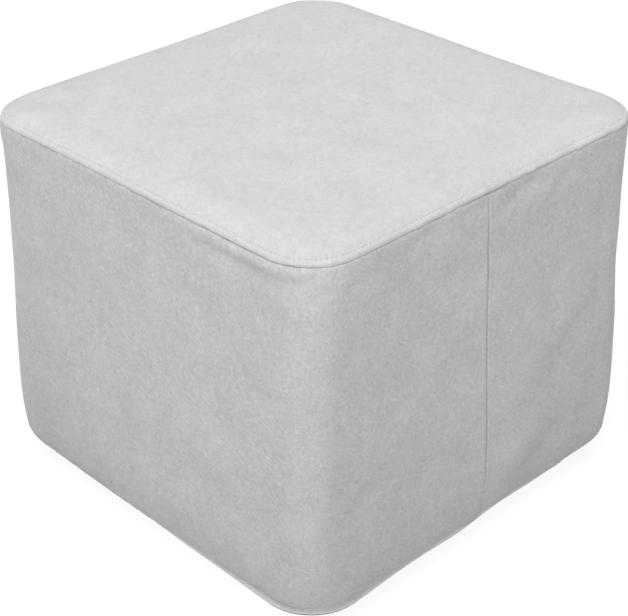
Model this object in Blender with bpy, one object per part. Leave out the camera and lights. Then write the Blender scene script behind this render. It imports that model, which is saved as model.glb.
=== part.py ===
"""Cube pouf stool: a firm square stool of soft cloth, sewn from a top panel, one side band and a base panel.

The stool stands on z = 0 and is centred on x = y = 0. Its front is the -Y side, and the upright seam that
closes the band is on the +X side. Sizes are in millimetres and are turned into metres as points are made.

Every piece is a stack of rings. A ring is a square with rounded corners, and a table row says how far it is
drawn in from the square through the top seam, how high it is and how round its corners are.
"""

import math

import bmesh
import bpy

MM = 0.001

# Driving dimensions
SIDE = 450.0  # width and depth of the square through the top seam
TOP_SEAM = 384.0  # height of the seam between the band and the top panel
BASE_SEAM = 10.0  # height of the seam between the band and the base panel
CROWN = 18.0  # rise of the top panel's middle above the top seam
TOP_RADIUS = 52.5  # corner radius at the top seam
CLOTH = 2.2  # thickness of the upholstery cloth with its backing
GAP = 0.3  # clearance between one sewn piece and the next

# How a ring is divided: along each straight side, as shares of half its length, and round each corner
STRAIGHT_STATIONS = (-1.0, -0.7, -0.4, -0.16, -0.02, 0.0, 0.02, 0.16, 0.4, 0.7)
CORNER_STEPS = 7

# Side band from foot to rim: height, draw-in from the top seam's square, corner radius
BAND_SECTIONS = (
    (10.3, 21.6, 55.0),
    (13.5, 17.0, 54.5),
    (20.0, 9.0, 53.0),
    (28.0, 1.4, 51.0),
    (38.0, -3.4, 48.5),
    (62.0, -4.6, 46.5),
    (100.0, -5.0, 46.5),
    (160.0, -3.6, 47.5),
    (230.0, -1.2, 49.0),
    (300.0, -0.3, 51.0),
    (350.0, -0.2, 52.0),
    (371.0, -0.5, 52.5),
    (378.5, -0.3, 52.5),
    (382.0, 0.9, 52.5),
    (383.7, 2.6, 52.5),
)

# Top panel from seam to middle: draw-in and rise above the seam, of its face and then of its back
TOP_SECTIONS = (
    (2.4, 0.0, 5.0, 0.0),
    (1.2, 1.4, 5.1, 1.6),
    (0.9, 3.3, 5.6, 2.9),
    (2.0, 5.2, 6.6, 3.9),
    (4.8, 5.7, 8.2, 5.3),
    (7.0, 8.2, 10.0, 7.2),
    (10.8, 10.9, 12.8, 9.1),
    (16.5, 12.9, 17.6, 10.8),
    (27.0, 14.7, 27.4, 12.5),
    (46.0, 16.0, 46.1, 13.8),
    (90.0, 17.2, 90.1, 15.0),
    (150.0, 17.8, 150.1, 15.6),
)

# Base panel from seam to the flat it stands on: draw-in and height of its face, then of its back
BASE_SECTIONS = (
    (21.2, 10.0, 24.6, 10.0),
    (18.9, 8.2, 24.4, 7.6),
    (18.2, 5.2, 24.8, 5.6),
    (19.2, 2.2, 25.8, 3.7),
    (21.4, 0.5, 27.6, 2.6),
    (24.6, 0.0, 30.0, 2.2),
)
BASE_RADIUS = 55.0  # corner radius at the base seam

# The upright seam on the +X side: height, and how far it stands to the +Y side of the middle
UPRIGHT_SEAM = ((0.0, 6.0), (80.0, 8.0), (190.0, 2.0), (300.0, -3.2), (384.0, -10.0))
UPRIGHT_DEPTH = 1.6  # depth of the crease that the seam pulls into the band

# The cloth's unevenness
SEAM_WAVE = 0.6  # how far the rim's line wanders up and down
SIDE_WAVE = 0.6  # how far the side faces wander in and out
CORNER_DROP = 1.6  # how far the top panel's shoulder sinks at the corners

# Soft places on the sides: side, offset along it, height, push outwards, spread along and up
FRONT, RIGHT = 3, 0
SOFT_PLACES = (
    (FRONT, -10.0, 8.0, 2.2, 75.0, 22.0),
    (RIGHT, 58.0, 8.0, -2.0, 24.0, 20.0),
    (RIGHT, 22.0, 76.0, 2.2, 20.0, 16.0),
    (RIGHT, 20.0, 48.0, -1.2, 18.0, 9.0),
)


def table_value(table, position):
    """Read a two-column table at a position, going straight from row to row."""
    for (low, low_value), (high, high_value) in zip(table, table[1:]):
        if position <= high:
            share = max(0.0, (position - low) / (high - low))
            return low_value + share * (high_value - low_value)
    return table[-1][1]


def smooth_hill(distance, spread):
    """A bump that is 1 at its middle and fades out over about twice the spread."""
    return math.exp(-0.5 * (distance / spread) ** 2)


def ring_stations(half, radius):
    """Points round a square with rounded corners. Each has its place, its outward direction, its side, the share
    of the side's half length that it lies along (1 round a corner) and how far into a corner it is, 0 to 1."""
    stations = []
    straight = half - radius
    for side in range(4):
        turn = math.radians(90.0 * side)
        cos_turn, sin_turn = math.cos(turn), math.sin(turn)

        def turned(x, y):
            return (x * cos_turn - y * sin_turn, x * sin_turn + y * cos_turn)

        for share in STRAIGHT_STATIONS:
            cornering = 0.5 * max(0.0, (abs(share) - 0.4) / 0.6) ** 2
            stations.append((turned(half, share * straight), turned(1.0, 0.0), side, share, cornering))
        for step in range(CORNER_STEPS):
            angle = math.radians(90.0 * step / CORNER_STEPS)
            x, y = math.cos(angle), math.sin(angle)
            cornering = 0.5 + 0.5 * math.sin(2.0 * angle)
            place = turned(straight + radius * x, straight + radius * y)
            stations.append((place, turned(x, y), side, 1.0, cornering))
    return stations


def seam_wave(turn):
    """The rim's line rises and falls a little as it goes round. A turn is the angle round the stool."""
    return SEAM_WAVE * (math.sin(3.0 * turn + 0.6) + 0.5 * math.sin(7.0 * turn + 2.1))


def side_wave(turn, height):
    """The side faces are soft: they wander in and out between the two seams."""
    share = (height - BASE_SEAM) / (TOP_SEAM - BASE_SEAM)
    free = math.sin(math.pi * min(1.0, max(0.0, share)))
    return SIDE_WAVE * free * math.sin(5.0 * turn + height / 60.0)


def crease_pull(side, share, height):
    """How far the upright seam's crease draws a point of the +X side in."""
    if side != RIGHT or share != 0.0:
        return 0.0
    ends = min(1.0, (height - BASE_SEAM) / 12.0, (TOP_SEAM - height) / 6.0)
    return UPRIGHT_DEPTH * max(0.0, ends)


def soft_push(side, along, height):
    """How far the soft places push a point of a side outwards."""
    push = 0.0
    for place_side, offset, place_height, rise, spread_along, spread_up in SOFT_PLACES:
        if side == place_side:
            hill = smooth_hill(along - offset, spread_along) * smooth_hill(height - place_height, spread_up)
            push += rise * hill
    return push


def ring_points(draw_in, height, radius, rim=0.0, is_band=False):
    """One ring in metres. rim is the share of the rim's wave that it follows. Only the band has its own waves."""
    half = SIDE / 2.0 - draw_in
    stations = ring_stations(half, radius)
    shoulder = math.sin(math.pi * min(1.0, draw_in / 60.0)) if height > TOP_SEAM - 1.0 else 0.0
    points = []
    for index, ((x, y), (out_x, out_y), side, share, cornering) in enumerate(stations):
        turn = 2.0 * math.pi * index / len(stations)
        push = soft_push(side, share * (half - radius), height) if share < 1.0 else 0.0
        if is_band:
            push += side_wave(turn, height) - crease_pull(side, share, height)
        if side == RIGHT and share < 1.0:
            y += table_value(UPRIGHT_SEAM, height) * max(0.0, 1.0 - abs(share) / 0.5)
        z = height + rim * seam_wave(turn) - CORNER_DROP * shoulder * cornering
        points.append(((x + push * out_x) * MM, (y + push * out_y) * MM, z * MM))
    return points


def corner_radius(draw_in, seam_draw_in, seam_radius):
    """The corner radius of a ring inside a seam's ring. It falls more slowly than the ring shrinks, so that the
    cloth goes round the corner in a softer curve."""
    return max(seam_radius - 0.5 * (draw_in - seam_draw_in), 14.0)


def stack_rings(name, rings, first_middle, last_middle):
    """Build a closed mesh object from rings. Each end is closed by a fan to a middle point at its own height."""
    mesh = bmesh.new()
    rows = [[mesh.verts.new(point) for point in ring] for ring in rings]
    for lower, upper in zip(rows, rows[1:]):
        for index, vertex in enumerate(lower):
            after = (index + 1) % len(lower)
            mesh.faces.new((vertex, lower[after], upper[after], upper[index]))
    for row, middle in ((rows[0], first_middle), (rows[-1], last_middle)):
        centre = mesh.verts.new((0.0, 0.0, middle * MM))
        for index, vertex in enumerate(row):
            mesh.faces.new((vertex, row[(index + 1) % len(row)], centre))
    bmesh.ops.recalc_face_normals(mesh, faces=mesh.faces)
    data = bpy.data.meshes.new(name)
    mesh.to_mesh(data)
    mesh.free()
    for polygon in data.polygons:
        polygon.use_smooth = True
    piece = bpy.data.objects.new(name, data)
    bpy.context.scene.collection.objects.link(piece)
    return piece


def rim_share(draw_in):
    """How much of the rim's wave a ring of the top panel follows: all at the seam, none past the shoulder."""
    return max(0.0, min(1.0, (40.0 - draw_in) / 30.0))


def make_top_panel():
    """The top panel: a crowned sheet that turns down over the rim to the top seam."""
    face = []
    back = []
    for face_in, face_rise, back_in, back_rise in TOP_SECTIONS:
        for rings, draw_in, rise in ((face, face_in, face_rise), (back, back_in, back_rise)):
            radius = corner_radius(draw_in, 0.0, TOP_RADIUS)
            rings.append(ring_points(draw_in, TOP_SEAM + rise, radius, rim_share(draw_in)))
    top = TOP_SEAM + CROWN
    return stack_rings("top_panel", back[::-1] + face, top - CLOTH, top)


def make_base_panel():
    """The base panel: a flat sheet that the stool stands on, turned up round the foot to the base seam."""
    face = []
    back = []
    for face_in, face_height, back_in, back_height in BASE_SECTIONS:
        for rings, draw_in, height in ((face, face_in, face_height), (back, back_in, back_height)):
            radius = corner_radius(draw_in, BASE_SECTIONS[0][0], BASE_RADIUS)
            rings.append(ring_points(draw_in, height, radius))
    return stack_rings("base_panel", back[::-1] + face, CLOTH, 0.0)


def make_side_band():
    """The side band, filled: its face between the two seams, and the body that the two panels are pulled over."""
    rings = []
    for _, _, back_in, back_height in BASE_SECTIONS[::-1]:
        draw_in = back_in + GAP
        radius = corner_radius(draw_in, BASE_SECTIONS[0][0], BASE_RADIUS)
        rings.append(ring_points(draw_in, back_height + GAP, radius))
    for height, draw_in, radius in BAND_SECTIONS:
        wave = smooth_hill(TOP_SEAM - height, 12.0)
        rings.append(ring_points(draw_in, height, radius, wave, is_band=True))
    for _, _, back_in, back_rise in TOP_SECTIONS:
        draw_in = back_in + GAP
        radius = corner_radius(draw_in, 0.0, TOP_RADIUS)
        rings.append(ring_points(draw_in, TOP_SEAM + back_rise - GAP, radius, rim_share(draw_in)))
    return stack_rings("side_band", rings, CLOTH + GAP, TOP_SEAM + CROWN - CLOTH - GAP)


def cloth_material(name, colour):
    """Pale grey brushed cloth."""
    material = bpy.data.materials.new(name)
    material.use_nodes = True
    shader = material.node_tree.nodes["Principled BSDF"]
    shader.inputs["Base Color"].default_value = (*colour, 1.0)
    shader.inputs["Roughness"].default_value = 0.9
    shader.inputs["Metallic"].default_value = 0.0
    return material


def main():
    for old in list(bpy.data.objects):
        bpy.data.objects.remove(old)
    make_top_panel().data.materials.append(cloth_material("top_cloth", (0.66, 0.64, 0.66)))
    make_side_band().data.materials.append(cloth_material("band_cloth", (0.62, 0.60, 0.62)))
    make_base_panel().data.materials.append(cloth_material("base_cloth", (0.60, 0.58, 0.60)))


main()
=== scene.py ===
# %% [markdown]
# # Cube pouf stool
#
# A pouf like this is a firm block of filling inside a sewn cover. The cover has a square top panel, one long
# side band and a square base panel, all cut from one pale grey brushed cloth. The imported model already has
# these three pieces at their real size, so this file only gives them their finished shape and surface: the
# soft faces, the rolled and stitched rims, the puckers beside the seams and the short nap of the cloth.

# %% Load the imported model
import math

import bpy
import numpy as np
from mathutils import Matrix, Quaternion, Vector, noise


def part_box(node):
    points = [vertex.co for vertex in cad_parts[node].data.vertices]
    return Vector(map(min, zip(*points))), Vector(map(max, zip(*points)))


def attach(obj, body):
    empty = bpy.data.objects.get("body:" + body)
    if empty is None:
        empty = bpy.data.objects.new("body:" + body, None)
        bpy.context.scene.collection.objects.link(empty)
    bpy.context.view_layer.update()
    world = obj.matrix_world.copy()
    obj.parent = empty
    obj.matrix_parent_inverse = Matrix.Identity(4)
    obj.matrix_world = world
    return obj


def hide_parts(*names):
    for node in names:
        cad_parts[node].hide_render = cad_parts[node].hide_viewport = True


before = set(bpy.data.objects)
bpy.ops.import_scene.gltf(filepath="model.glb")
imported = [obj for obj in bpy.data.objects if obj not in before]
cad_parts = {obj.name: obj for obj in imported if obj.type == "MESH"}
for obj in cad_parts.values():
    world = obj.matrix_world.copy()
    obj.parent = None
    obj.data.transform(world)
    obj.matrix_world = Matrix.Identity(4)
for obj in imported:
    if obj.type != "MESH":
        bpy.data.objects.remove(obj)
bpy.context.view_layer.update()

MM = 0.001

# %% [markdown]
# ## Sizes
#
# The crown, the middle of the top panel, is measured from the model. The top seam, at the low edge of the top panel,
# and the base seam, at the high edge of the base panel, are given as numbers. So is the side of the square that
# passes through the top seam, because the band bulges past it.

# %% Driving sizes, in millimetres
SIDE = 450.0
TOP_SEAM = 384.0
BASE_SEAM = 10.0
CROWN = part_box("top_panel")[1].z / MM
CLOTH = 2.2
TOP_RADIUS = 52.5
BASE_RADIUS = 48.0
FLOOR_GAP = 0.2

# %% [markdown]
# ## Cutting plan: sections
#
# A piece that goes all the way round is easiest to describe by its sections. Each row below is one ring round
# the stool: how high it is, how far it is drawn in from the square through the top seam, and how round its
# corners are. Rows lie close together where the cloth turns into a seam and far apart on the plain faces.

# %% Section tables
# Side band, from under the base seam to under the top seam: height, draw-in, corner radius
BAND_SECTIONS = (
    (10.3, 24.8, 47.0),
    (10.4, 21.6, 48.0),
    (12.5, 17.8, 48.5),
    (16.0, 13.4, 49.0),
    (21.0, 8.2, 49.5),
    (28.0, 2.0, 49.5),
    (38.0, -2.4, 48.5),
    (62.0, -4.4, 46.5),
    (100.0, -4.8, 46.5),
    (160.0, -3.6, 47.5),
    (230.0, -1.2, 49.0),
    (300.0, -0.3, 51.0),
    (348.0, -0.2, 52.0),
    (369.0, -0.6, 52.5),
    (377.0, -0.6, 52.5),
    (381.0, -0.4, 52.5),
    (383.0, 0.0, 52.5),
    (383.9, 0.35, 52.4),
    (384.25, 1.0, 52.2),
    (383.8, 3.6, 51.5),
)

# Face of the top panel, from the seam to the middle: draw-in, rise above the seam
TOP_FACE = (
    (3.6, 0.1),
    (1.1, 0.4),
    (0.55, 1.0),
    (0.45, 2.6),
    (1.2, 4.3),
    (2.7, 5.5),
    (4.3, 6.2),
    (6.2, 7.3),
    (9.4, 9.5),
    (14.5, 11.9),
    (22.0, 13.8),
    (36.0, 15.4),
    (64.0, 16.6),
    (110.0, 17.4),
    (165.0, 17.85),
    (200.0, 17.97),
    (221.0, 18.0),
)

# Back of the top panel, from the middle to the seam
TOP_BACK = (
    (221.0, 15.8),
    (165.0, 15.6),
    (64.0, 14.4),
    (27.0, 12.5),
    (12.8, 9.1),
    (8.2, 5.3),
    (5.6, 2.9),
    (5.0, 0.2),
)

# Face of the base panel, from the seam to the flat underside: draw-in, height
BASE_FACE = (
    (22.0, 10.0),
    (20.6, 9.8),
    (18.9, 8.8),
    (18.0, 7.2),
    (17.8, 5.4),
    (17.9, 3.6),
    (18.8, 1.8),
    (20.6, 0.6),
    (23.4, 0.1),
    (25.0, 0.0),
    (90.0, 0.0),
)

# Back of the base panel, from the middle to the seam
BASE_BACK = (
    (90.0, 2.2),
    (30.0, 2.2),
    (25.8, 3.7),
    (24.8, 5.6),
    (24.4, 9.8),
)
print("sections:", len(BAND_SECTIONS), len(TOP_FACE), len(TOP_BACK), len(BASE_FACE), len(BASE_BACK))

# %% [markdown]
# ## Going round the square
#
# A ring is a square with rounded corners. The first helper walks round it at an even pace, starting from the
# middle of the +X side, and returns each point with the direction that faces away from the stool. The second
# draws a smooth curve through the rows of a table, so a few rows are enough for a soft profile.


# %% Helpers for rings and profiles
def walk_square(share, half, radius):
    """Points round a square with rounded corners. share runs from 0 to 1, counter-clockwise from +X."""
    straight = half - radius
    quarter = share * 4.0 + 0.5
    side = np.floor(quarter).astype(int) % 4
    along = (quarter - np.floor(quarter)) * 2.0 - 1.0
    arc = radius * math.pi / 4.0
    distance = along * (straight + arc)
    turn = np.clip((np.abs(distance) - straight) / radius, 0.0, None) * np.sign(distance)
    x = straight + radius * np.cos(turn)
    y = np.clip(distance, -straight, straight) + radius * np.sin(turn)
    facing = turn + side * math.pi / 2.0
    cos_side, sin_side = np.cos(side * math.pi / 2.0), np.sin(side * math.pi / 2.0)
    return x * cos_side - y * sin_side, x * sin_side + y * cos_side, facing


def smooth_row(table, position):
    """Read a table between its rows, on a curve through them. position counts rows and may be an array."""
    rows = np.asarray(table, float)
    padded = np.vstack([2.0 * rows[0] - rows[1], rows, 2.0 * rows[-1] - rows[-2]])
    start = np.clip(np.floor(position).astype(int), 0, len(rows) - 2)
    t = (position - start)[..., None]
    a, b, c, d = (padded[start + k] for k in range(4))
    return 0.5 * (2.0 * b + (c - a) * t + (2.0 * a - 5.0 * b + 4.0 * c - d) * t**2 + (3.0 * (b - c) + d - a) * t**3)


def hill(distance, spread):
    """A bump that is 1 at its middle and fades out over about twice the spread."""
    return np.exp(-0.5 * (distance / spread) ** 2)


def corner_share(facing):
    """0 on a flat side and 1 in the middle of a corner, from the direction a point faces."""
    return 0.5 - 0.5 * np.cos(4.0 * facing)


print("a quarter of the way round:", [round(float(v), 1) for v in walk_square(np.array(0.25), 225.0, 50.0)])

# %% [markdown]
# ## The stool's own unevenness
#
# A sewn cube is never exact. The rim's line wanders by about half a millimetre, the shoulder of the top panel
# sinks a little at the corners, the front foot is pushed out and the upright seam leans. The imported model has
# the same places, so the finished cloth lies where its solids are.

# %% Unevenness shared by all the cloth
SEAM_WAVE = 0.6
CORNER_DROP = 1.6
CORNER_TUCK = 17.0
FOOT_LIFT = 4.5
FOOT_REACH = 32.0
FOOT_EASE = 7.0
UPRIGHT_SEAM = ((0.0, 3.0), (80.0, 3.5), (190.0, -1.0), (300.0, -4.6), (384.0, -10.0))
FRONT, RIGHT = 3, 0

# Soft places: side, offset along it, height, push outwards, spread along and up
SOFT_PLACES = (
    (FRONT, -10.0, 8.0, 2.2, 75.0, 22.0),
    (RIGHT, 58.0, 8.0, -2.0, 24.0, 20.0),
)


def seam_wave(share):
    """How far the rim's line rises or falls at a share of the way round."""
    turn = 2.0 * math.pi * share
    return SEAM_WAVE * (np.sin(3.0 * turn + 0.6) + 0.5 * np.sin(7.0 * turn + 2.1))


def along_side(x, y, side):
    """How far a point lies along a side, from its middle, and whether it is on that side at all."""
    turn = side * math.pi / 2.0
    along = -x * math.sin(turn) + y * math.cos(turn)
    out = x * math.cos(turn) + y * math.sin(turn)
    return along, out > np.abs(along)


def foot_lift(share):
    """How far the base seam is pulled up: most beside the near corner, on its front side."""
    return FOOT_LIFT * hill(share - 0.862, 0.024)


def near_corner_tuck(share, height):
    """How much tighter the corner between the front and the right side is than the others; looser at its foot."""
    below = np.clip((TOP_SEAM - height) / 45.0, 0.0, 1.0) * np.clip((height - 3.0 * BASE_SEAM) / 60.0, 0.0, 1.0)
    at_foot = np.clip(1.0 - (height - BASE_SEAM) / 25.0, 0.0, 1.0)
    tuck = CORNER_TUCK * below * below * (3.0 - 2.0 * below) - FOOT_EASE * at_foot
    return np.where(share > 0.75, tuck, 0.0)


def soft_push(x, y, height, places):
    """How far the soft places push a point outwards."""
    push = np.zeros_like(x)
    for side, offset, place_height, rise, spread_along, spread_up in places:
        along, on_side = along_side(x, y, side)
        place = hill(along - offset, spread_along) * rise * hill(height - place_height, spread_up)
        push += np.where(on_side, place, 0.0)
    return push


def seam_offset(height):
    """How far the upright seam stands to the +Y side of the middle at a height."""
    heights, offsets = zip(*UPRIGHT_SEAM)
    return np.interp(height, heights, offsets)


def ring_point(share, draw_in, height, radius, rim, shoulder):
    """A point of the cover in millimetres, with the direction it faces."""
    half = SIDE / 2.0 - draw_in
    x, y, facing = walk_square(share, half, radius - near_corner_tuck(share, height))
    push = soft_push(x, y, height, SOFT_PLACES)
    along, on_side = along_side(x, y, RIGHT)
    near_face = np.clip(1.0 - np.abs(along) / 90.0, 0.0, 1.0) * np.clip(1.0 - draw_in / 40.0, 0.0, 1.0)
    lean = np.where(on_side, seam_offset(height) * near_face, 0.0)
    z = height + rim * seam_wave(share) - CORNER_DROP * shoulder * corner_share(facing)
    above_base = np.clip(height - BASE_SEAM, 0.0, None)
    z = z + foot_lift(share) * np.clip(height / BASE_SEAM, 0.0, 1.0) * hill(above_base, FOOT_REACH)
    return np.stack([x + push * np.cos(facing), y + push * np.sin(facing) + lean, z], axis=-1), facing


# %% [markdown]
# ## One way to make every panel
#
# By hand, a ring-shaped panel starts as an open cylinder that is cut into rows and then pulled to shape. The
# helper does just that: it adds a cylinder, selects its upright edges and subdivides them, then moves each
# vertex to its place on the section curve. The cylinder's own angle and height say which vertex is which.


# %% Helper: a cylinder cut into rows and pulled to shape
def deselect_all():
    """Nothing stays selected, so an operator only acts on what comes next."""
    for each in bpy.context.selected_objects:
        each.select_set(False)


def read_vertices(piece):
    """The piece's vertices as they are stored."""
    points = np.empty(len(piece.data.vertices) * 3)
    piece.data.vertices.foreach_get("co", points)
    return points.reshape(-1, 3)


def rowed_cylinder(name, columns, rows, ends):
    """A cylinder of the given columns, cut into rows. ends is NOTHING for a tube or TRIFAN for closed ends."""
    deselect_all()
    bpy.ops.mesh.primitive_cylinder_add(
        vertices=columns, radius=1.0, depth=1.0, end_fill_type=ends, location=(0, 0, 0.5)
    )
    piece = bpy.context.object
    bpy.ops.object.transform_apply(location=True, rotation=False, scale=False)
    piece.name = piece.data.name = name
    ends_at = read_vertices(piece)
    bpy.ops.object.mode_set(mode="EDIT")
    bpy.ops.mesh.select_mode(type="EDGE")
    bpy.ops.mesh.select_all(action="DESELECT")
    bpy.ops.object.mode_set(mode="OBJECT")
    pairs = np.empty(len(piece.data.edges) * 2, int)
    piece.data.edges.foreach_get("vertices", pairs)
    pairs = pairs.reshape(-1, 2)
    upright = np.abs(ends_at[pairs[:, 0], 2] - ends_at[pairs[:, 1], 2]) > 0.5
    piece.data.edges.foreach_set("select", upright)
    bpy.ops.object.mode_set(mode="EDIT")
    bpy.ops.mesh.subdivide(number_cuts=rows - 1)
    bpy.ops.object.mode_set(mode="OBJECT")
    return piece


def cylinder_places(piece):
    """The share of the way round and the share of the height of each vertex, and which are the middles of ends."""
    points = read_vertices(piece)
    share = np.mod(np.arctan2(points[:, 1], points[:, 0]) / (2.0 * math.pi), 1.0)
    return share, points[:, 2], np.hypot(points[:, 0], points[:, 1]) < 0.5


def get_points(piece):
    """The piece's vertices in millimetres."""
    return read_vertices(piece) / MM


def set_points(piece, points):
    """Move the piece's vertices to places given in millimetres."""
    piece.data.vertices.foreach_set("co", (points * MM).ravel())
    piece.data.update()


def report(piece):
    """Print a piece's size and its triangles."""
    points = get_points(piece)
    size = np.round(points.max(0) - points.min(0), 1)
    triangles = sum(len(face.vertices) - 2 for face in piece.data.polygons)
    print(f"{piece.name}: {size[0]} x {size[1]} x {size[2]} mm, {triangles} triangles")


# %% [markdown]
# ## Rehearsing the band
#
# The band is pulled tight over the filling and held at its two seams, so between them it swells a little and
# buckles softly. Cloth simulation finds that shape. It runs on a coarse copy, with both seams pinned, a light
# pressure from inside and a little spare cloth, and no gravity. Its movement is capped and then carried over
# to the fine band, because a mesh fine enough for the seams would take far too long to simulate.

# %% Coarse band and its cloth simulation
COARSE_COLUMNS = 192
COARSE_ROWS = 44
SETTLE_FRAMES = 20
MOST_SWELL = 0.6
PINNED_REACH = 35.0


def band_points(share, position):
    """Where the band lies before it swells, from its place round the stool and its row."""
    height, draw_in, radius = np.moveaxis(smooth_row(BAND_SECTIONS, position), -1, 0)
    rim = hill(TOP_SEAM - height, 12.0)
    return ring_point(share, draw_in, height, radius, rim, 0.0)


def pin_seams(piece):
    """Hold the cloth near both seams and let it move freely in between."""
    group = piece.vertex_groups.new(name="seams")
    height = get_points(piece)[:, 2]
    hold = np.maximum(1.0 - (TOP_SEAM - height) / PINNED_REACH, 1.0 - (height - BASE_SEAM) / PINNED_REACH)
    hold = np.clip(hold, 0.0, 1.0)
    for index, weight in enumerate(hold):
        group.add([index], float(weight), "REPLACE")
    return group.name


def settle_band():
    """Simulate the coarse band and return how unevenly it moves outwards, as rows by columns."""
    coarse = rowed_cylinder("coarse_band", COARSE_COLUMNS, COARSE_ROWS, "NOTHING")
    share, height_share, _ = cylinder_places(coarse)
    start, facing = band_points(share, height_share * (len(BAND_SECTIONS) - 1.0))
    set_points(coarse, start)
    cloth = coarse.modifiers.new("Settle", "CLOTH")
    cloth.settings.quality = 6
    cloth.settings.mass = 0.3
    cloth.settings.tension_stiffness = 20.0
    cloth.settings.compression_stiffness = 12.0
    cloth.settings.shear_stiffness = 6.0
    cloth.settings.bending_stiffness = 0.8
    cloth.settings.shrink_min = -0.012
    cloth.settings.use_pressure = True
    cloth.settings.uniform_pressure_force = 2.0
    cloth.settings.vertex_group_mass = pin_seams(coarse)
    cloth.settings.effector_weights.gravity = 0.0
    cloth.collision_settings.use_collision = False
    cloth.point_cache.frame_start = 1
    cloth.point_cache.frame_end = SETTLE_FRAMES
    for step in range(1, SETTLE_FRAMES + 1):
        bpy.context.scene.frame_set(step)
    settled = coarse.evaluated_get(bpy.context.evaluated_depsgraph_get())
    moved = get_points(settled) - start
    bpy.context.scene.frame_set(1)
    out = moved[:, 0] * np.cos(facing) + moved[:, 1] * np.sin(facing)
    row = np.round(height_share * COARSE_ROWS).astype(int)
    column = np.round(share * COARSE_COLUMNS).astype(int) % COARSE_COLUMNS
    field = np.zeros((COARSE_ROWS + 1, COARSE_COLUMNS))
    field[row, column] = out
    print("cloth moved out by", round(float(out.mean()), 2), "mm on average, at most", round(float(out.max()), 1))
    field -= field.mean(axis=1, keepdims=True)
    for _ in range(2):
        field = (2.0 * field + np.roll(field, 1, axis=1) + np.roll(field, -1, axis=1)) / 4.0
    field = MOST_SWELL * np.tanh(field / MOST_SWELL)
    bpy.data.objects.remove(coarse)
    return field


swell = settle_band()
print("largest swell kept", round(float(np.abs(swell).max()), 2), "mm")

# %% [markdown]
# ## The filled band
#
# The fine band has close rows at its seams and extra columns beside the upright seam, where the groove is only
# a few millimetres wide. Its rows carry the swell from the rehearsal, then the small things that a simulation
# of this size can't show: gathers that hang from the seams, a few deeper puckers, and the upright seam itself.

# %% Fine band
WAY_ROUND = 1.7
BAND_COLUMNS = 840
ROWS_PER_SECTION = 6
SEAM_CROWDING = 0.82
CROWDED_SHARE = 0.010

# Puckers: side, offset along it, height, push outwards, spread along and up, lean of the fold
PUCKERS = (
    (RIGHT, -84.0, 373.0, -2.0, 9.0, 6.0, 0.0),
    (RIGHT, -98.0, 360.0, 1.1, 14.0, 5.0, 0.5),
    (RIGHT, -104.0, 348.0, -0.9, 18.0, 5.0, 0.6),
    (RIGHT, -30.0, 374.0, -0.9, 12.0, 6.0, 0.2),
    (RIGHT, 36.0, 371.0, -3.0, 17.0, 7.0, 0.2),
    (RIGHT, 20.0, 356.0, 1.2, 16.0, 6.0, 0.6),
    (RIGHT, 12.0, 343.0, -0.9, 18.0, 5.0, 0.6),
    (RIGHT, 78.0, 362.0, 1.4, 18.0, 7.0, 0.6),
    (RIGHT, 96.0, 366.0, -1.3, 20.0, 6.0, 0.3),
    (RIGHT, 175.0, 372.0, -1.8, 26.0, 8.0, 0.1),
    (RIGHT, 46.0, 88.0, 2.8, 22.0, 12.0, 0.1),
    (RIGHT, 60.0, 63.0, -2.6, 26.0, 7.0, 0.25),
    (RIGHT, 12.0, 62.0, -1.3, 6.0, 18.0, 0.0),
    (RIGHT, 110.0, 210.0, 1.5, 60.0, 14.0, 0.7),
    (RIGHT, 120.0, 176.0, -1.3, 60.0, 12.0, 0.7),
    (RIGHT, 130.0, 128.0, 1.2, 60.0, 14.0, 0.6),
    (RIGHT, -5.0, 22.0, 2.4, 7.0, 11.0, 0.0),
    (RIGHT, 16.0, 24.0, -1.2, 9.0, 12.0, 0.0),
    (FRONT, 13.0, 126.0, -1.3, 9.0, 6.0, 0.0),
    (FRONT, 25.0, 70.0, 1.8, 90.0, 14.0, 0.0),
    (FRONT, 20.0, 36.0, -1.2, 100.0, 8.0, 0.0),
    (FRONT, 158.0, 378.5, 1.7, 52.0, 4.5, 0.0),
    (FRONT, 152.0, 368.0, -1.6, 52.0, 4.5, 0.0),
    (FRONT, -80.0, 16.0, 2.6, 90.0, 11.0, 0.0),
    (FRONT, -60.0, 370.0, -1.1, 24.0, 7.0, 0.1),
    (FRONT, -150.0, 366.0, -1.2, 22.0, 8.0, -0.2),
)


def crowd_columns(share):
    """Bring the columns closer together beside the upright seam, which is at the start and end of the walk."""
    centred = np.mod(share + 0.5, 1.0) - 0.5
    pulled = centred - SEAM_CROWDING * CROWDED_SHARE * np.tanh(centred / CROWDED_SHARE)
    return np.mod(pulled / (1.0 - 2.0 * SEAM_CROWDING * CROWDED_SHARE), 1.0)


def read_swell(share, height_share):
    """The rehearsed swell between its rows and columns."""
    row = np.clip(height_share * COARSE_ROWS, 0.0, COARSE_ROWS - 0.001)
    column = share * COARSE_COLUMNS
    row_low, column_low = np.floor(row).astype(int), np.floor(column).astype(int)
    row_part, column_part = row - row_low, column - column_low
    row_part = row_part * row_part * (3.0 - 2.0 * row_part)
    column_part = column_part * column_part * (3.0 - 2.0 * column_part)
    left, right = column_low % COARSE_COLUMNS, (column_low + 1) % COARSE_COLUMNS
    low = swell[row_low, left] * (1.0 - column_part) + swell[row_low, right] * column_part
    high = swell[row_low + 1, left] * (1.0 - column_part) + swell[row_low + 1, right] * column_part
    return low * (1.0 - row_part) + high * row_part


def noise_at(points, scale, seed):
    """Smooth noise from -1 to 1 at each point; scale is in waves per millimetre along x, y and z."""
    shift = Vector((seed * 7.3, seed * 3.1, seed * 5.7))
    return np.array([noise.noise(Vector(p) + shift) for p in points * np.asarray(scale)])


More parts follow.
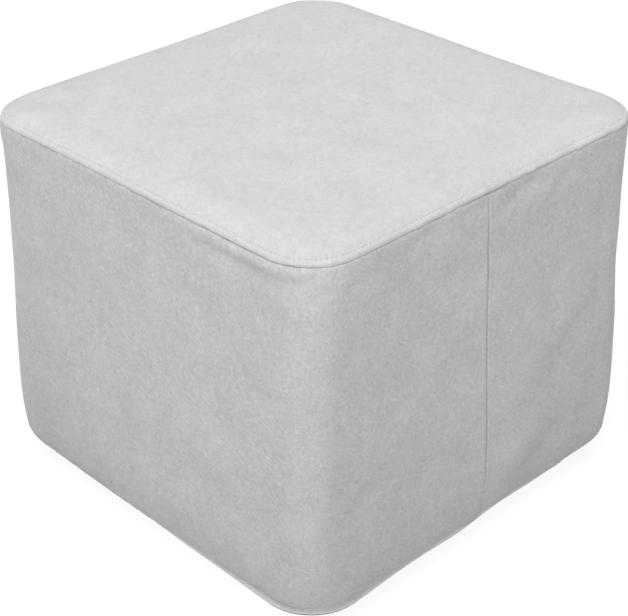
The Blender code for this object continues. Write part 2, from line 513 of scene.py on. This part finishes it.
def pucker_push(points):
    """How far the puckers push each point outwards."""
    push = np.zeros(len(points))
    for side, offset, height, rise, spread_along, spread_up, lean in PUCKERS:
        along, on_side = along_side(points[:, 0], points[:, 1], side)
        up = points[:, 2] - height - lean * (along - offset)
        push += np.where(on_side, rise * hill(along - offset, spread_along) * hill(up, spread_up), 0.0)
    return push


def gathers(points, facing):
    """Small folds that hang from the top seam and stand on the base seam, stronger round the corners."""
    below_top = np.clip(TOP_SEAM - points[:, 2], 0.0, None)
    above_base = np.clip(points[:, 2] - BASE_SEAM, 0.0, None)
    depth = 0.22 + 0.3 * corner_share(facing)
    folds = noise_at(points, (0.085, 0.085, 0.016), 1) + 0.5 * noise_at(points, (0.19, 0.19, 0.03), 2)
    from_top = hill(below_top - 6.0, 13.0) * np.clip(below_top / 3.0, 0.0, 1.0)
    from_base = hill(above_base - 15.0, 15.0) * np.clip(above_base / 4.0, 0.0, 1.0)
    return depth * folds * (from_top + 2.1 * from_base)


def seam_strength(height):
    """How plainly the upright seam shows: most in the middle of its height, softer towards both ends."""
    return hill(np.clip(height - 335.0, 0.0, None), 18.0) * hill(np.clip(150.0 - height, 0.0, None), 55.0)


def upright_groove(points):
    """The line where the two ends of the band are sewn together, with a faint lip beside it."""
    along, on_side = along_side(points[:, 0], points[:, 1], RIGHT)
    from_seam = along - seam_offset(points[:, 2])
    ends = np.clip(np.minimum((points[:, 2] - BASE_SEAM) / 8.0, (TOP_SEAM - points[:, 2]) / 5.0), 0.0, 1.0)
    groove = -2.2 * (0.45 + 0.55 * seam_strength(points[:, 2])) * hill(from_seam, 0.6)
    pull = groove - 0.3 * hill(from_seam, 5.0) + 0.4 * hill(from_seam - 2.4, 1.0)
    return np.where(on_side, pull * ends, 0.0)


def mark(piece, name, values):
    """Keep one number with each vertex, for the cloth's material to read."""
    kept = piece.data.attributes.new(name, "FLOAT", "POINT")
    kept.data.foreach_set("value", values)


def seam_creases(points):
    """Painted shade: darker cloth at the seams, unevenly along the rims, and a little towards the foot and two of the
    corners.
    """
    along, on_side = along_side(points[:, 0], points[:, 1], RIGHT)
    plain = 0.1 + 0.4 * seam_strength(points[:, 2])
    upright = np.where(on_side, hill(along - seam_offset(points[:, 2]), 0.7) * plain, 0.0)
    patchy = 0.3 + 1.1 * noise_at(points, (0.05, 0.05, 0.0), 8)
    rims = np.clip((points[:, 2] - TOP_SEAM + 0.8) / 1.2, 0.0, 1.0) * np.clip(patchy, 0.0, 1.0)
    above_base = np.clip(points[:, 2] - BASE_SEAM - foot_lift(walk_share(points)), 0.0, None)
    on_front = np.where(points[:, 1] < 0.0, np.clip((0.15 * SIDE - points[:, 0]) / (0.5 * SIDE), 0.0, 1.0), 0.0)
    rims += 0.3 * np.exp(-above_base / 20.0) + 0.3 * np.exp(-above_base / 1.5)
    rims += (0.07 + 0.12 * on_front) * np.exp(-above_base / 60.0)
    outer = np.clip((np.abs(points[:, 0] + points[:, 1]) / SIDE - 0.45) / 0.5, 0.0, 1.0)
    return upright + rims + 0.12 * outer * outer * (3.0 - 2.0 * outer)


def walk_share(points):
    """The share of the way round of points near the rim, by their direction from the middle."""
    return np.mod(np.arctan2(points[:, 1], points[:, 0]) / (2.0 * math.pi), 1.0)


def make_band():
    """The band with all its puckers, gathers and grooves, and the marks that its material reads."""
    rows = (len(BAND_SECTIONS) - 1) * ROWS_PER_SECTION
    band = rowed_cylinder("filled_band", BAND_COLUMNS, rows, "TRIFAN")
    share, height_share, middle = cylinder_places(band)
    share = crowd_columns(share)
    points, facing = band_points(share, height_share * (len(BAND_SECTIONS) - 1.0))
    loose = hill(points[:, 2] - 200.0, 110.0)
    push = read_swell(share, height_share) + pucker_push(points) + gathers(points, facing)
    push = push + upright_groove(points)
    push += 0.75 * hill(points[:, 2] - TOP_SEAM, 3.0) * noise_at(points, (0.11, 0.11, 0.05), 4)
    push += 0.7 * loose * noise_at(points, (0.014, 0.014, 0.012), 3)
    points[:, 0] += push * np.cos(facing)
    points[:, 1] += push * np.sin(facing)
    points[middle, :2] = 0.0
    points[middle, 2] = np.where(height_share[middle] > 0.5, TOP_SEAM - 0.4, BASE_SEAM + 0.4)
    set_points(band, points)
    # This mark is painted shade: it darkens the band's colour in the seam crevices, at the foot and towards two
    # corners.
    mark(band, "crease", np.clip(seam_creases(points), 0.0, 1.0))
    mark(band, "walk", share * WAY_ROUND)
    below_top = np.clip(TOP_SEAM - points[:, 2], 0.0, None)
    mark(band, "ripple", np.exp(-below_top / 7.0) * (0.5 + 0.8 * corner_share(facing)))
    band.data.shade_smooth()
    return band


band = make_band()
report(band)

# %% [markdown]
# ## The top and base panels
#
# Both panels are sheets with a turned edge. Their profile runs from the middle of the back, out to the seam,
# round the edge and back over the face to the middle. The row of top stitching pulls a narrow groove beside
# the rim, and the shoulder of the top panel is soft, so it rolls away before the nearly flat seat begins.

# %% Panels
TOP_COLUMNS = 1040
BASE_COLUMNS = 640
STITCH_PITCH = 4.4
TOP_BACK_ROWS, TOP_FACE_ROWS = 14, 70
BASE_BACK_ROWS, BASE_FACE_ROWS = 10, 50

# Stretches where the base rim is tucked out of sight: share of the way round, spread, how strongly
HIDDEN_RIM = ((0.708, 0.052, 1.0), (0.075, 0.05, 1.0), (0.957, 0.03, 0.75))
RIM_TUCK = 4.0


def profile_position(share, back, face, rows_back, rows_face):
    """Turn a vertex's share of the height into a row of the joined table, with more rows on the face."""
    rows = rows_back + rows_face
    row = share * rows
    on_back = row * (len(back) / rows_back)
    on_face = len(back) + (row - rows_back) * ((len(face) - 1.0) / rows_face)
    return np.where(row < rows_back, on_back, on_face)


def panel_radius(draw_in, seam_draw_in, seam_radius):
    """The corner radius of a ring inside the seam's ring: it falls more slowly than the ring shrinks."""
    radius = np.maximum(seam_radius - 0.5 * (draw_in - seam_draw_in), 14.0)
    return np.minimum(radius, 0.9 * (SIDE / 2.0 - draw_in))


def top_point(share, draw_in, rise):
    """A point of the top panel in millimetres, from its place round the stool and on the profile."""
    rim = np.clip((40.0 - draw_in) / 30.0, 0.0, 1.0)
    shoulder = np.sin(math.pi * np.clip(draw_in / 60.0, 0.0, 1.0))
    radius = panel_radius(draw_in, 0.0, TOP_RADIUS)
    return ring_point(share, draw_in, TOP_SEAM + rise, radius, rim, shoulder)


def make_top():
    """The crowned top panel, with its rolled rim and the small gathers beside it."""
    profile = TOP_BACK + TOP_FACE
    top = rowed_cylinder("top_cover", TOP_COLUMNS, TOP_BACK_ROWS + TOP_FACE_ROWS, "TRIFAN")
    share, height_share, middle = cylinder_places(top)
    position = profile_position(height_share, TOP_BACK, TOP_FACE, TOP_BACK_ROWS, TOP_FACE_ROWS)
    draw_in, rise = np.moveaxis(smooth_row(profile, position), -1, 0)
    points, facing = top_point(share, draw_in, rise)
    on_face = np.clip(position - len(TOP_BACK), 0.0, 1.0)
    seat = noise_at(points, (0.012, 0.012, 0.012), 5) * 0.5
    points[:, 2] += seat * np.clip((draw_in - 8.0) / 40.0, 0.0, 1.0)
    gather = noise_at(points, (0.07, 0.07, 0.02), 6) * hill(draw_in - 9.0, 5.0) * (0.22 + 0.35 * corner_share(facing))
    points[:, 2] += gather * on_face
    rim_pucker = 0.8 * noise_at(points, (0.14, 0.14, 0.05), 7) * hill(draw_in - 1.0, 1.6) * on_face
    points[:, 0] += rim_pucker * np.cos(facing)
    points[:, 1] += rim_pucker * np.sin(facing)
    points[middle] = [(0.0, 0.0, CROWN - (CLOTH if low else 0.0)) for low in height_share[middle] < 0.5]
    set_points(top, points)
    mark(top, "walk", share * WAY_ROUND)
    mark(top, "ripple", on_face * hill(draw_in - 4.5, 3.2) * (0.5 + 0.9 * corner_share(facing)))
    top.data.shade_smooth()
    return top


def make_base():
    """The flat base panel with its turned-up edge."""
    profile = BASE_BACK + BASE_FACE
    base = rowed_cylinder("base_cover", BASE_COLUMNS, BASE_BACK_ROWS + BASE_FACE_ROWS, "TRIFAN")
    share, height_share, middle = cylinder_places(base)
    position = profile_position(height_share, BASE_BACK, BASE_FACE, BASE_BACK_ROWS, BASE_FACE_ROWS)
    draw_in, height = np.moveaxis(smooth_row(profile, position), -1, 0)
    height = np.clip(height, 0.0, None)
    radius = panel_radius(draw_in, BASE_FACE[0][0], BASE_RADIUS)
    points, facing = ring_point(share, draw_in, height, radius, 0.0, 0.0)
    rim_push = 1.6 * hill(share - 0.862, 0.03) * hill(draw_in - 18.0, 4.0) * hill(height - 3.0, 5.0)
    rim_push += 0.35 * noise_at(points, (0.08, 0.08, 0.02), 9) * hill(draw_in - 18.0, 4.0)
    hidden = sum(strength * hill(share - at, spread) for at, spread, strength in HIDDEN_RIM)
    rim_push -= RIM_TUCK * hidden * hill(draw_in - 18.0, 5.0)
    points[:, 0] += rim_push * np.cos(facing)
    points[:, 1] += rim_push * np.sin(facing)
    points[middle] = [(0.0, 0.0, CLOTH if low else 0.0) for low in height_share[middle] < 0.5]
    set_points(base, points)
    base.data.shade_smooth()
    return base


top_cover = make_top()
base_cover = make_base()
report(top_cover)
report(base_cover)

# %% [markdown]
# ## Stitches
#
# A row of stitches holds the seam allowance down in the groove beside the top rim. One stitch is a short rounded
# bar, half sunk in the cloth. It is modelled once, from a cylinder with bevelled ends, and its copies are laid
# end to end along the groove. They are all one object, because a thread is one thing.


# %% Stitch rows
def make_stitch():
    """One stitch along X, a little thinner at its ends."""
    deselect_all()
    bpy.ops.mesh.primitive_cylinder_add(
        vertices=8, radius=0.45 * MM, depth=STITCH_PITCH * 0.66 * MM, rotation=(0.0, math.pi / 2.0, 0.0)
    )
    stitch = bpy.context.object
    bpy.ops.object.transform_apply(location=True, rotation=True, scale=False)
    bpy.ops.object.mode_set(mode="EDIT")
    bpy.ops.mesh.select_all(action="SELECT")
    bpy.ops.mesh.bevel(offset=0.2 * MM, segments=1, affect="EDGES")
    bpy.ops.object.mode_set(mode="OBJECT")
    return stitch


def lay_stitches(name, point_at, lift):
    """Copy the stitch round the stool. point_at gives a point for each share of the way round."""
    stitch = make_stitch()
    shape = get_points(stitch)
    faces = [tuple(face.vertices) for face in stitch.data.polygons]
    count = int(round(4.0 * (SIDE - 2.0 * TOP_RADIUS + TOP_RADIUS * math.pi / 2.0) / STITCH_PITCH))
    share = (np.arange(count) + 0.5) / count
    centre = point_at(share)
    ahead = point_at(np.mod(share + 0.25 / count, 1.0)) - point_at(np.mod(share - 0.25 / count, 1.0))
    ahead /= np.linalg.norm(ahead, axis=1, keepdims=True)
    side = np.cross(np.array([0.0, 0.0, 1.0]), ahead)
    up = np.cross(ahead, side)
    copies = (
        centre[:, None]
        + shape[None, :, :1] * ahead[:, None]
        + shape[None, :, 1:2] * side[:, None]
        + (shape[None, :, 2:] + lift) * up[:, None]
    )
    mesh = bpy.data.meshes.new(name)
    all_faces = [tuple(v + k * len(shape) for v in face) for k in range(count) for face in faces]
    mesh.from_pydata((copies.reshape(-1, 3) * MM).tolist(), [], all_faces)
    row = bpy.data.objects.new(name, mesh)
    bpy.context.scene.collection.objects.link(row)
    mesh.shade_smooth()
    bpy.data.objects.remove(stitch)
    print(name, "has", count, "stitches")
    return row


def top_groove(share):
    """The bottom of the groove beside the top rim."""
    return top_point(share, np.full_like(share, 4.5), np.full_like(share, 6.0))[0]


top_stitches = lay_stitches("top_stitches", top_groove, 0.1)
report(top_stitches)

# %% [markdown]
# ## Brushed cloth
#
# The cloth is a short-napped microfibre. Where the nap has been stroked different ways it looks a touch
# lighter or darker, in soft clouds a few centimetres wide, with finer flecks and single fibres inside them.
# The nap also catches light at grazing angles, which is what the sheen of the shader is for. All patterns are
# solid noise in object space, so they run over the rims and corners without a break.


# %% Cloth material
FOOT_SHADE_FALL = 2.6
PAINTED_SHADE_STRENGTH = 0.42
GATHER_PAINTED_SHADE = 0.22
GATHER_HEIGHT = 1.4


def add_node(tree, kind, **settings):
    """A new node with its settings. Names with a leading underscore are input sockets."""
    node = tree.nodes.new(kind)
    for key, value in settings.items():
        if key.startswith("_"):
            node.inputs[key[1:].replace("_", " ")].default_value = value
        else:
            setattr(node, key, value)
    return node


def noise_layer(tree, mapping, scale, detail, roughness, distortion=0.0):
    """A noise texture on the mapped coordinates."""
    layer = add_node(
        tree, "ShaderNodeTexNoise", _Scale=scale, _Detail=detail, _Roughness=roughness, _Distortion=distortion
    )
    tree.links.new(mapping.outputs["Vector"], layer.inputs["Vector"])
    return layer.outputs["Fac"]


def combine(tree, operation, first, second):
    """A math node of two values or sockets."""
    node = add_node(tree, "ShaderNodeMath", operation=operation)
    for socket, value in zip(node.inputs, (first, second)):
        if isinstance(value, (int, float)):
            socket.default_value = value
        else:
            tree.links.new(value, socket)
    return node.outputs[0]


def brushed_cloth(name, colour, cloud, fleck, fibre, foot, combings):
    """Short-napped cloth. cloud, fleck and fibre say how far each scale of mottling changes the brightness.

    foot is how much painted shade darkens the cloth, gradually, from the top seam down to the floor. combings are the
    two ways the nap was stroked.
    """
    material = bpy.data.materials.new(name)
    material.use_nodes = True
    tree = material.node_tree
    shader = tree.nodes["Principled BSDF"]
    place = add_node(tree, "ShaderNodeTexCoord")
    even = add_node(tree, "ShaderNodeMapping")
    tree.links.new(place.outputs["Object"], even.inputs["Vector"])
    clouds = noise_layer(tree, even, 20.0, 4.0, 0.6, 0.5)
    patches = noise_layer(tree, even, 38.0, 2.0, 0.5, 0.8)
    flecks = noise_layer(tree, even, 130.0, 4.0, 0.65, 0.8)
    strokes = []
    for turn in combings:
        combed = add_node(tree, "ShaderNodeMapping", vector_type="TEXTURE", _Rotation=turn, _Scale=(1.0, 1.0, 5.5))
        tree.links.new(place.outputs["Object"], combed.inputs["Vector"])
        strokes.append(noise_layer(tree, combed, 420.0, 3.0, 0.6, 0.4))
    split = combine(tree, "MULTIPLY", combine(tree, "SUBTRACT", patches, 0.5), 5.0)
    split = combine(tree, "MINIMUM", combine(tree, "MAXIMUM", combine(tree, "ADD", split, 0.5), 0.0), 1.0)
    difference = combine(tree, "SUBTRACT", strokes[1], strokes[0])
    fibres = combine(tree, "ADD", strokes[0], combine(tree, "MULTIPLY", difference, split))
    shade = 1.0
    for layer, amount in ((clouds, cloud), (flecks, fleck), (fibres, fibre)):
        centred = combine(tree, "SUBTRACT", layer, 0.5)
        shade = combine(tree, "ADD", combine(tree, "MULTIPLY", centred, amount), shade)
    # Painted shade: the colour darkens gradually from the top seam down to the floor, by the foot amount.
    height = add_node(tree, "ShaderNodeSeparateXYZ")
    tree.links.new(place.outputs["Object"], height.inputs["Vector"])
    raised = combine(tree, "MULTIPLY", height.outputs["Z"], FOOT_SHADE_FALL)
    low = combine(tree, "MAXIMUM", combine(tree, "SUBTRACT", 1.0, raised), 0.0)
    low = combine(tree, "MULTIPLY", combine(tree, "POWER", low, 1.2), -foot)
    shade = combine(tree, "MULTIPLY", shade, combine(tree, "ADD", low, 1.0))
    walk = add_node(tree, "ShaderNodeAttribute", attribute_name="walk")
    amount = add_node(tree, "ShaderNodeAttribute", attribute_name="ripple")
    gather = add_node(tree, "ShaderNodeTexNoise", noise_dimensions="1D", _Scale=360.0, _Detail=2.0)
    tree.links.new(walk.outputs["Fac"], gather.inputs["W"])
    ripple = combine(tree, "MULTIPLY", combine(tree, "SUBTRACT", gather.outputs["Fac"], 0.5), amount.outputs["Fac"])
    # Painted shade and light of the gathers: the colour darkens and lightens with the same ripple that raises the
    # bump.
    shade = combine(tree, "ADD", shade, combine(tree, "MULTIPLY", ripple, GATHER_PAINTED_SHADE))
    # Painted shade: the seam, foot and corner mark darkens the colour, by up to 42% where it is full.
    crease = add_node(tree, "ShaderNodeAttribute", attribute_name="crease")
    painted_shade_factor = combine(tree, "SUBTRACT", 1.0, combine(tree, "MULTIPLY", crease.outputs["Fac"], PAINTED_SHADE_STRENGTH))
    shade = combine(tree, "MULTIPLY", shade, painted_shade_factor)
    tint = add_node(tree, "ShaderNodeVectorMath", operation="SCALE")
    tint.inputs[0].default_value = colour
    tree.links.new(shade, tint.inputs["Scale"])
    tree.links.new(tint.outputs["Vector"], shader.inputs["Base Color"])
    nap = combine(tree, "MULTIPLY", flecks, 0.5)
    nap = combine(tree, "ADD", nap, combine(tree, "MULTIPLY", fibres, 0.6))
    nap = combine(tree, "ADD", nap, combine(tree, "MULTIPLY", ripple, GATHER_HEIGHT))
    bump = add_node(tree, "ShaderNodeBump", _Strength=0.6, _Distance=0.0009)
    tree.links.new(nap, bump.inputs["Height"])
    tree.links.new(bump.outputs["Normal"], shader.inputs["Normal"])
    rough = combine(tree, "ADD", combine(tree, "MULTIPLY", flecks, 0.12), 0.82)
    tree.links.new(rough, shader.inputs["Roughness"])
    shader.inputs["Specular IOR Level"].default_value = 0.15
    shader.inputs["Sheen Weight"].default_value = 0.12
    shader.inputs["Sheen Roughness"].default_value = 0.5
    return material


def thread_material(name, colour):
    """Matt sewing thread."""
    material = bpy.data.materials.new(name)
    material.use_nodes = True
    tree = material.node_tree
    shader = tree.nodes["Principled BSDF"]
    place = add_node(tree, "ShaderNodeTexCoord")
    twist = add_node(tree, "ShaderNodeTexNoise", _Scale=900.0, _Detail=2.0)
    tree.links.new(place.outputs["Object"], twist.inputs["Vector"])
    ramp = add_node(tree, "ShaderNodeMix", data_type="RGBA")
    ramp.inputs["A"].default_value = (*[c * 0.9 for c in colour], 1.0)
    ramp.inputs["B"].default_value = (*[c * 1.08 for c in colour], 1.0)
    tree.links.new(twist.outputs["Fac"], ramp.inputs["Factor"])
    tree.links.new(ramp.outputs["Result"], shader.inputs["Base Color"])
    shader.inputs["Roughness"].default_value = 0.8
    return material


# The band's grey is set darker than the top's, as painted shade on the same cloth. The base rim lies in shade under
# the band, so its grey is set lighter than the same cloth on the sides, as painted light.
TOP_GREY = (0.645, 0.625, 0.645)
SHADED_SIDE_GREY = (0.608, 0.588, 0.608)
BASE_GREY = (0.84, 0.82, 0.84)
FLAT_COMBINGS = ((1.45, 0.3, 0.5), (1.2, -0.4, 2.0))
STEEP_COMBINGS = ((0.9, 0.8, 0.0), (-0.8, -1.1, 0.4))
top_cloth = brushed_cloth("top_cloth_nap", TOP_GREY, 0.19, 0.2, 0.34, 0.0, FLAT_COMBINGS)
band_cloth = brushed_cloth("band_cloth_nap", SHADED_SIDE_GREY, 0.28, 0.26, 0.72, 0.19, STEEP_COMBINGS)
base_cloth = brushed_cloth("base_cloth_nap", BASE_GREY, 0.2, 0.3, 0.5, 0.0, STEEP_COMBINGS)
thread = thread_material("grey_thread", (0.74, 0.72, 0.74))
top_cover.data.materials.append(top_cloth)
band.data.materials.append(band_cloth)
base_cover.data.materials.append(base_cloth)
top_stitches.data.materials.append(thread)
print("materials:", [m.name for m in (top_cloth, band_cloth, base_cloth, thread)])

# %% [markdown]
# ## Joining the pieces to the frame
#
# Each finished piece is attached to the body it moves with, and the imported piece it stands for is hidden. The
# panels are sheets pulled tight over the filling; the band is a well-filled pad. Each panel was cut as a square: the
# side of the finished panel over its curve, and a seam allowance of a centimetre at each edge.

for piece, node, slot in (
    (top_cover, "top_panel", "top_cloth"),
    (band, "side_band", "band_cloth"),
    (base_cover, "base_panel", "base_cloth"),
):
    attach(piece, "root")
    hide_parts(node)
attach(top_stitches, "root")

# %% [markdown]
# ## Camera
#
# The camera stands a good metre and a half away and looks down at about thirty degrees on the corner between
# the front and the side with the upright seam. A long lens keeps the upright edges almost parallel.

# %% Camera
VIEW_TURN = 0.79824
VIEW_TILT = 0.53680
VIEW_ROLL = -0.00414
VIEW_DISTANCE = 1.62793
AIM_SIDEWAYS = -0.0005
AIM_DOWN = 0.02454
SENSOR = 36.0
LENS = 92.98

toward = Vector(
    (math.sin(VIEW_TURN) * math.cos(VIEW_TILT), -math.cos(VIEW_TURN) * math.cos(VIEW_TILT), math.sin(VIEW_TILT))
)
camera_data = bpy.data.cameras.new("camera")
camera_data.sensor_width = SENSOR
camera_data.lens = LENS
camera = bpy.data.objects.new("camera", camera_data)
bpy.context.scene.collection.objects.link(camera)
turned = toward.to_track_quat("Z", "Y") @ Quaternion((0.0, 0.0, 1.0), VIEW_ROLL)
right, up = turned @ Vector((1.0, 0.0, 0.0)), turned @ Vector((0.0, 1.0, 0.0))
aim = Vector((0.0, 0.0, 0.2)) + AIM_SIDEWAYS * right - AIM_DOWN * up
camera.matrix_world = Matrix.Translation(aim + VIEW_DISTANCE * toward) @ turned.to_matrix().to_4x4()
bpy.context.scene.camera = camera
print("camera at", [round(c, 3) for c in camera.location])

# %% [markdown]
# ## Floor and light
#
# The stool stands on a light table, a white floor that glows a little, under a sky that is brightest
# overhead. This is the soft, almost shadowless light of a product studio. One broad light from above and a
# little left of the camera makes the top the lightest face and the side with the upright seam the darkest.

# %% Floor, sky and sun
bpy.ops.mesh.primitive_plane_add(size=30.0, location=(0.0, 0.0, -FLOOR_GAP * MM))
floor = bpy.context.object
floor.name = "floor"
floor_paint = bpy.data.materials.new("white_floor")
floor_paint.use_nodes = True
floor_shader = floor_paint.node_tree.nodes["Principled BSDF"]
floor_shader.inputs["Base Color"].default_value = (0.12, 0.12, 0.12, 1.0)
floor_shader.inputs["Emission Color"].default_value = (1.0, 1.0, 1.0, 1.0)
floor_shader.inputs["Emission Strength"].default_value = 0.9
floor_shader.inputs["Roughness"].default_value = 0.9
floor_shader.inputs["Specular IOR Level"].default_value = 0.0
floor.data.materials.append(floor_paint)

SKY = 1.35
SKY_FALL = 4.5
SUN_TURN = math.radians(31.0)
SUN_TILT = math.radians(62.0)
SUN_STRENGTH = 2.4
SUN_SOFTNESS = math.radians(28.0)

world = bpy.data.worlds.new("studio")
world.use_nodes = True
sky = world.node_tree
way = add_node(sky, "ShaderNodeTexCoord")
parts = add_node(sky, "ShaderNodeSeparateXYZ")
sky.links.new(way.outputs["Generated"], parts.inputs["Vector"])
overhead = combine(sky, "POWER", combine(sky, "MAXIMUM", parts.outputs["Z"], 0.0), SKY_FALL)
sky.links.new(combine(sky, "MULTIPLY", overhead, SKY), sky.nodes["Background"].inputs["Strength"])
sky.nodes["Background"].inputs["Color"].default_value = (1.0, 1.0, 1.0, 1.0)
bpy.context.scene.world = world

sun_data = bpy.data.lights.new("soft_sun", "SUN")
sun_data.energy = SUN_STRENGTH
sun_data.angle = SUN_SOFTNESS
sun = bpy.data.objects.new("soft_sun", sun_data)
bpy.context.scene.collection.objects.link(sun)
sun_way = Vector(
    (math.sin(SUN_TURN) * math.cos(SUN_TILT), -math.cos(SUN_TURN) * math.cos(SUN_TILT), math.sin(SUN_TILT))
)
sun.rotation_euler = sun_way.to_track_quat("Z", "Y").to_euler()
bpy.context.scene.view_settings.view_transform = "Standard"
bpy.context.scene.view_settings.look = "None"
print("sunlight comes from", [round(c, 2) for c in sun_way])
